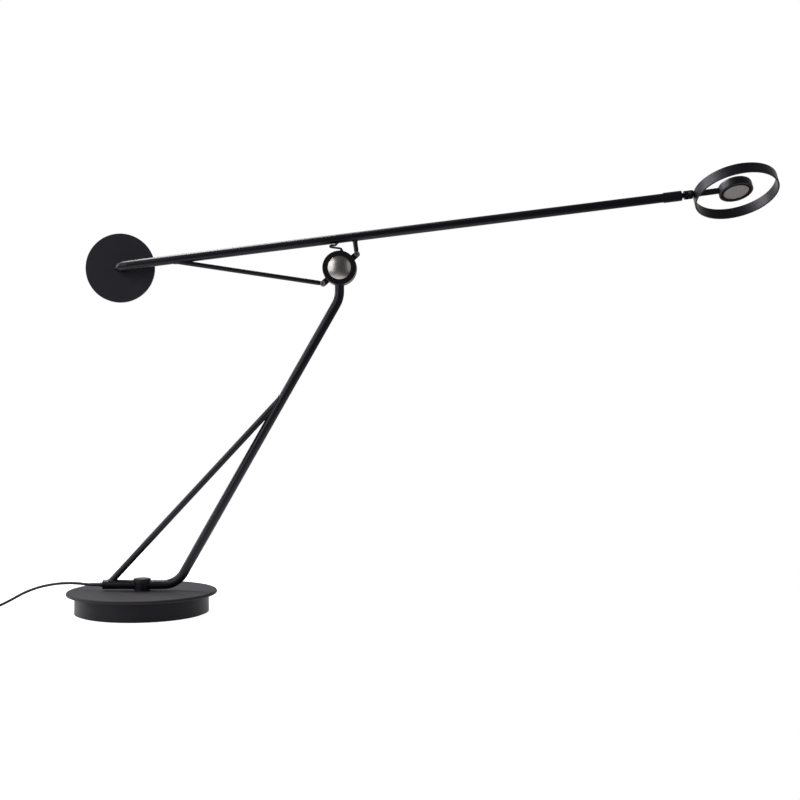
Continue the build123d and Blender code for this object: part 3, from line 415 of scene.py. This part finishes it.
dress(satin_black, "hub_housing", "jumper_nipple")
dress(plated_steel, "pivot_axle", "spring_washer", "axle_nut")
dress(moulded("white_nylon", (0.62, 0.61, 0.57), 0.42), "friction_washers")
black_plastic = moulded("black_plastic", (0.020, 0.020, 0.022), 0.46)
dress(black_plastic, "dimmer_module")


def brushed_in_rings(name, colour, roughness, centre, scale=5200):
    """Bare steel brushed on the lathe: fine rings round its own axis, and faint finger marks."""
    finish = Finish(name, Metallic=1.0, Roughness=roughness)
    place = finish.vector("SUBTRACT", finish.node("TexCoord", out="Object"), centre)
    reach = finish.vector("LENGTH", finish.vector("MULTIPLY", place, (1, 0, 1)), out="Value")
    rings = finish.node("TexNoise", {"noise_dimensions": "1D"}, W=reach * scale, Scale=1.0,
                        Detail=2.0)
    marks = finish.ramp(finish.noise(75, 4), 0.45, 0.75)
    dull = tuple(0.80 * c for c in colour) + (1,)
    handled = finish.between(rings * 0.7 + marks * 0.3, (*colour, 1), dull)
    finish.set(finish.shader, "Base Color", handled)
    finish.set(finish.shader, "Roughness", rings * 0.10 + marks * 0.10 + (roughness - 0.08))
    finish.bump(rings, 0.000003, 0.4)
    return finish


hub_front = -0.0080
knob_proud = 0.0046
knob_rim = 0.0022
knob_radius = 0.0172
knob_stem_radius = 0.0030
knob_front = hub_front - knob_proud
knob_back = hub_front + knob_rim
dome_height = 0.0042
dome_edge = 0.01685
dome_steps = 18
dome_radius = (knob_radius ** 2 + dome_height ** 2) / (2 * dome_height)
knob_rings = [(-0.0040, knob_stem_radius), (-knob_back, knob_stem_radius), (-knob_back, 0.0168)]
knob_rings += [(0.0061, knob_radius), (0.0081, knob_radius), (0.0083, 0.01705)]
for step in range(1, dome_steps):
    reach = dome_edge * math.cos(math.pi / 2 * step / dome_steps)
    sag = dome_radius - math.sqrt(dome_radius ** 2 - reach ** 2)
    knob_rings.append((-knob_front - sag, reach))
knob = turned("steel_knob", hub_axis, (0, -1, 0), knob_rings, 96)
knob_steel = brushed_in_rings("brushed_knob_steel", (0.44, 0.420, 0.408), 0.32, hub_axis)
finish_piece(knob, knob_steel, "knob")
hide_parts("dimmer_knob")
dress(brushed_in_rings("brushed_cap_steel", (0.42, 0.40, 0.38), 0.33, hub_axis), "back_cap")

# --- Balance arm ----------------------------------------------------------------------------------
# A long thin steel tube that carries the light at one end and a flat steel disc at the other. Two
# stays, welded under it, hang it from the lug ring on the hub's axle, with a screw and nut at each.

dress(satin_black, "arm_tube", "lug_ring", "short_stay", "long_stay", "arm_sleeve", "arm_end_plug")
dress(matt_black, "counterweight_disc")
dull_zinc = metal("dull_zinc", (0.27, 0.262, 0.245), 0.52, 1900)
dress(dull_zinc, "lug_screws", "counterweight_screw")
dress(plated_steel, "lug_nuts")
dress(brass, "lug_bush", "roll_bush")
dress(black_plastic, "jumper_grommet")

arm_slope = math.radians(7.15)
arm_along = Vector((math.cos(arm_slope), 0, math.sin(arm_slope)))
arm_square = Vector((-math.sin(arm_slope), 0, math.cos(arm_slope)))
arm_dia = 0.0134
arm_behind = 0.013
arm_offset = 0.0444
arm_middle = hub_axis + Vector((0, arm_behind, 0)) + arm_square * arm_offset
stay_dia = 0.0070
stay_behind = 0.012
stay_bead = 0.0009
stay_front = Vector((0, -0.001, 0))
lug_reach = 0.033
for name, angle, reach in (("long_stay_weld", 221, -0.2517), ("short_stay_weld", 41, 0.0272)):
    eye = Vector((math.cos(math.radians(angle)), 0, math.sin(math.radians(angle)))) * lug_reach
    start = hub_axis + eye + Vector((0, stay_behind, 0))
    weld = arm_middle + arm_along * reach + stay_front
    weld_seam(name, start, weld - start, stay_dia, arm_middle, arm_along, arm_dia, stay_bead, "arm")

# --- Jumper lead ----------------------------------------------------------------------------------
# A thin round lead in a soft black jacket, slack between the hub's nipple and the arm, so that the
# arm can tilt. It goes into the arm through a small moulded bush.


def flex(name, points, diameter, sides=5):
    """A smooth round flex along control points."""
    curve = bpy.data.curves.new(name, "CURVE")
    curve.dimensions = "3D"
    spline = curve.splines.new("NURBS")
    spline.points.add(len(points) - 1)
    for control, place in zip(spline.points, points):
        control.co = (*place, 1)
    spline.order_u = 3
    spline.use_endpoint_u = True
    spline.resolution_u = 6
    curve.bevel_depth = diameter / 2
    curve.bevel_resolution = sides
    curve.use_fill_caps = True
    cord = bpy.data.objects.new(name, curve)
    bpy.context.collection.objects.link(cord)
    return cord


def jacket(name, colour, roughness):
    """Extruded cable jacket: matt, with a faint drawn grain and a soft sheen."""
    finish = Finish(name, Base_Color=colour, Roughness=roughness)
    finish.set(finish.shader, "Specular IOR Level", 0.22)
    grain = finish.noise(900, 2)
    finish.set(finish.shader, "Roughness", grain * 0.16 + (roughness - 0.08))
    broad = finish.noise(60, 2)
    lighter = tuple(1.8 * c for c in colour[:3]) + (1,)
    finish.set(finish.shader, "Base Color", finish.between(broad, colour, lighter))
    finish.bump(grain, 0.00004)
    return finish


black_jacket = jacket("cable_jacket", (0.0062, 0.0060, 0.0072, 1), 0.50)
jumper_dia = 0.0030
nipple_angle = math.radians(83)
nipple_out = Vector((math.cos(nipple_angle), 0, math.sin(nipple_angle)))
grommet_mouth = arm_middle - arm_square * (arm_dia / 2 + 0.0008)
jumper_points = [
    hub_axis + nipple_out * 0.0245,
    hub_axis + nipple_out * 0.0278,
    hub_axis + Vector((0.0012, 0.0010, 0.0290)),
    hub_axis + Vector((-0.0080, 0.0036, 0.0303)),
    hub_axis + Vector((-0.0152, 0.0060, 0.0315)),
    hub_axis + Vector((-0.0126, 0.0090, 0.0346)),
    grommet_mouth - arm_square * 0.0022 + Vector((-0.0030, -0.0012, 0)),
    grommet_mouth - arm_square * 0.0004,
    grommet_mouth + arm_square * 0.0026,
]
jumper_line = flex("jumper_line", jumper_points, jumper_dia, 4)
drawn_line = jumper_line.evaluated_get(bpy.context.evaluated_depsgraph_get())
jumper_mesh = bpy.data.meshes.new_from_object(drawn_line)
bpy.data.objects.remove(jumper_line)
jumper = bpy.data.objects.new("jumper_flex", jumper_mesh)
bpy.context.collection.objects.link(jumper)
jumper.data.materials.append(black_jacket.material)
bpy.ops.object.select_all(action="DESELECT")
jumper.select_set(True)
bpy.context.view_layer.objects.active = jumper
bpy.ops.object.shade_smooth()
tuple(jumper_points[1])
tuple(jumper_points[7])
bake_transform(jumper)
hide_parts("jumper_lead")
dress(black_jacket, "stand_lead", "arm_lead", "neck_lead", "stem_lead")

# --- Knuckle --------------------------------------------------------------------------------------
# A turned and slotted fork that rolls in the sleeve at the arm's end, and a pin through it that the
# light tilts on. The fork has the arm's black powder coat, and the pin's ends are bare.

dress(satin_black, "knuckle_fork", "tilt_tongue")
dress(dull_zinc, "hinge_pin")
dress(plated_steel, "roll_retainer")

# --- Light ----------------------------------------------------------------------------------------
# A flat steel band bent into a hoop, a hollow stem across it, and a turned aluminium housing for
# the light, all black. The diffuser is opal acrylic, a warm grey while the light is off.

hoop_coat = powder_coat("hoop_coat", (0.0066, 0.0061, 0.0082), 0.38, 0.44)
dress(hoop_coat, "hoop", "head_stem", "neck_washer")
housing_coat = powder_coat("anodised_housing", (0.0066, 0.0061, 0.0078), 0.38, 0.50, 2600)
dress(housing_coat, "light_housing")
bezel_coat = powder_coat("anodised_bezel", (0.0030, 0.0028, 0.0035), 0.52, 0.08, 2600)
dress(bezel_coat, "light_bezel")

opal = Finish("opal_diffuser", Roughness=0.46)
opal.set(opal.shader, "Specular IOR Level", 0.4)
opal_cloud = opal.noise(150, 4)
opal_grain = opal.noise(1600, 2)
opal_shade = (0.560, 0.525, 0.505, 1)
opal_light = (0.680, 0.645, 0.620, 1)
opal_mix = opal_cloud * 0.7 + opal_grain * 0.3
opal.set(opal.shader, "Base Color", opal.between(opal_mix, opal_shade, opal_light))
opal.set(opal.shader, "Roughness", opal_grain * 0.14 + 0.40)
opal.bump(opal_grain, 0.00003, 0.6)
dress(opal, "light_diffuser")

board_mask = moulded("white_solder_mask", (0.74, 0.74, 0.72), 0.38, 1200)
dress(board_mask, "led_board")
phosphor = moulded("yellow_phosphor", (0.78, 0.62, 0.10), 0.5, 2400)
dress(phosphor, "led_chips")

# --- Mains cord -----------------------------------------------------------------------------------
# A round black flex of 4 mm. It leaves the foot of the stand through a ribbed rubbery boot, bows
# over the base's edge down to the table, and its put-away length is wound into a neat coil of four
# layers beside the lamp. Its round plug is moulded on, with grip rings and two nickel pins.

cord_dia = 0.004
cord_floor = 0.0022
coil_centre = Vector((-0.264, -0.030, 0))
coil_pitch = 0.00525
coil_outer = 0.030
coil_layers = 4
coil_half_turns = 6
coil_tail = 0.020
cord_in_plug = 0.002
points_per_half_turn = 8
gland_face = Vector((-0.0575, 0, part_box("foot_gland")[0].z / 2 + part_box("foot_gland")[1].z / 2))

cord_points = [
    (-0.052, 0, gland_face.z),
    (-0.073, 0, gland_face.z),
    (-0.081, 0.0002, gland_face.z),
    (-0.096, 0.0065, 0.0420),
    (-0.116, 0.0145, 0.0412),
    (-0.138, 0.021, 0.0384),
    (-0.160, 0.0245, 0.0332),
    (-0.180, 0.024, 0.0256),
    (-0.1975, 0.0195, 0.0156),
    (-0.214, 0.012, 0.0074),
    (-0.231, 0.004, 0.0029),
    (-0.246, 0, cord_floor),
    (-0.260, 0, cord_floor),
]


def coil_turns():
    """The coil's points: the radius shrinks and grows in turn, and a reversal climbs a layer."""
    radius, height, angle = coil_outer, cord_floor, math.pi / 2
    for layer in range(coil_layers):
        last = layer == coil_layers - 1
        inward = -1 if layer % 2 == 0 else 1
        halves = [(inward * coil_pitch / 2, 0)] * (coil_half_turns - last)
        halves += [] if last else [(0, coil_pitch)]
        for step, climb in halves:
            for part in range(1, points_per_half_turn + 1):
                share = part / points_per_half_turn
                smooth = share * share * (3 - 2 * share)
                turn = angle + math.pi * share
                reach = radius + step * share
                yield coil_centre + Vector((
                    math.cos(turn) * reach,
                    math.sin(turn) * reach,
                    height + climb * smooth,
                ))
            radius, height, angle = radius + step, height + climb, angle + math.pi


cord_points += [coil_centre + Vector((0, coil_outer, cord_floor))]
cord_points += list(coil_turns())
coil_end = cord_points[-1].copy()
cord_points.append(coil_end - Vector((coil_tail / 2, 0, 0)))
cord_points.append(coil_end - Vector((coil_tail + cord_in_plug, 0, 0)))

black_moulding = moulded("cord_moulding", (0.0095, 0.0092, 0.0104), 0.50, 2200)
boot_ribs = 4
boot_pitch = 0.0042
boot_groove = 0.0023
boot_rings = [(0, 0.0034), (0.0014, 0.0034), (0.0016, 0.0030)]
for rib in range(boot_ribs):
    start = 0.0026 + boot_pitch * rib
    radius = 0.0031 - 0.0002 * rib
    boot_rings += [(start, radius), (start + 0.0024, radius - 0.0001)]
    boot_rings += [(start + 0.0026, boot_groove), (start + 0.0040, boot_groove)]
boot_rings += [(0.0198, boot_groove), (0.0200, 0.00215)]
boot = turned("cord_boot", gland_face, (-1, 0, 0), boot_rings, 32)
finish_piece(boot, black_moulding, "stand")

plug_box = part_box("plug_body")
plug_axis = (plug_box[0] + plug_box[1]) / 2
neck_start = Vector((plug_box[1].x, plug_axis.y, plug_axis.z))
neck_ribs = 4
neck_pitch = 0.0040
grip_rings = 5
grip_pitch = 0.0028
grip_start = 0.0280
grip_end = 0.0424
grip_radius = 0.0175
groove_radius = 0.0168
plug_face = 0.0520
plug_edge = 0.0030
edge_steps = 6
plug_rings = [(0, 0.0028)]
for rib in range(neck_ribs):
    start = 0.0008 + neck_pitch * rib
    radius = 0.0032 + 0.0003 * rib
    plug_rings += [(start, radius), (start + 0.0024, radius + 0.0002)]
    plug_rings += [(start + 0.0026, radius - 0.0005), (start + 0.0036, radius - 0.0004)]
plug_rings += [(0.0172, 0.0046), (0.0185, 0.0062), (0.0200, 0.0104)]
plug_rings += [(0.0222, 0.0142), (0.0250, 0.0165)]
for ring in range(grip_rings):
    start = grip_start + grip_pitch * ring
    plug_rings += [(start, grip_radius), (start + 0.0014, grip_radius)]
    plug_rings += [(start + 0.0016, groove_radius), (start + 0.0026, groove_radius)]
plug_rings.append((grip_end, grip_radius))
for step in range(edge_steps + 1):
    turn = math.pi / 2 * step / edge_steps
    along = plug_face - plug_edge + plug_edge * math.sin(turn)
    plug_rings.append((along, grip_radius - plug_edge + plug_edge * math.cos(turn)))
plug_rings += [(plug_face, 0.0138), (plug_face - 0.0004, 0.0135)]
plug = turned("mains_plug", neck_start, (-1, 0, 0), plug_rings, 64)
finish_piece(plug, black_moulding, "stand")
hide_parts("plug_body")
pin_nickel = metal("plug_pin_nickel", (0.66, 0.63, 0.58), 0.30)
dress(pin_nickel, "plug_pins")

mains_cord = flex("mains_flex", cord_points, cord_dia)
mains_cord.data.materials.append(black_jacket.material)
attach(mains_cord, "stand")
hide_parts("mains_cord", "cord_coil")
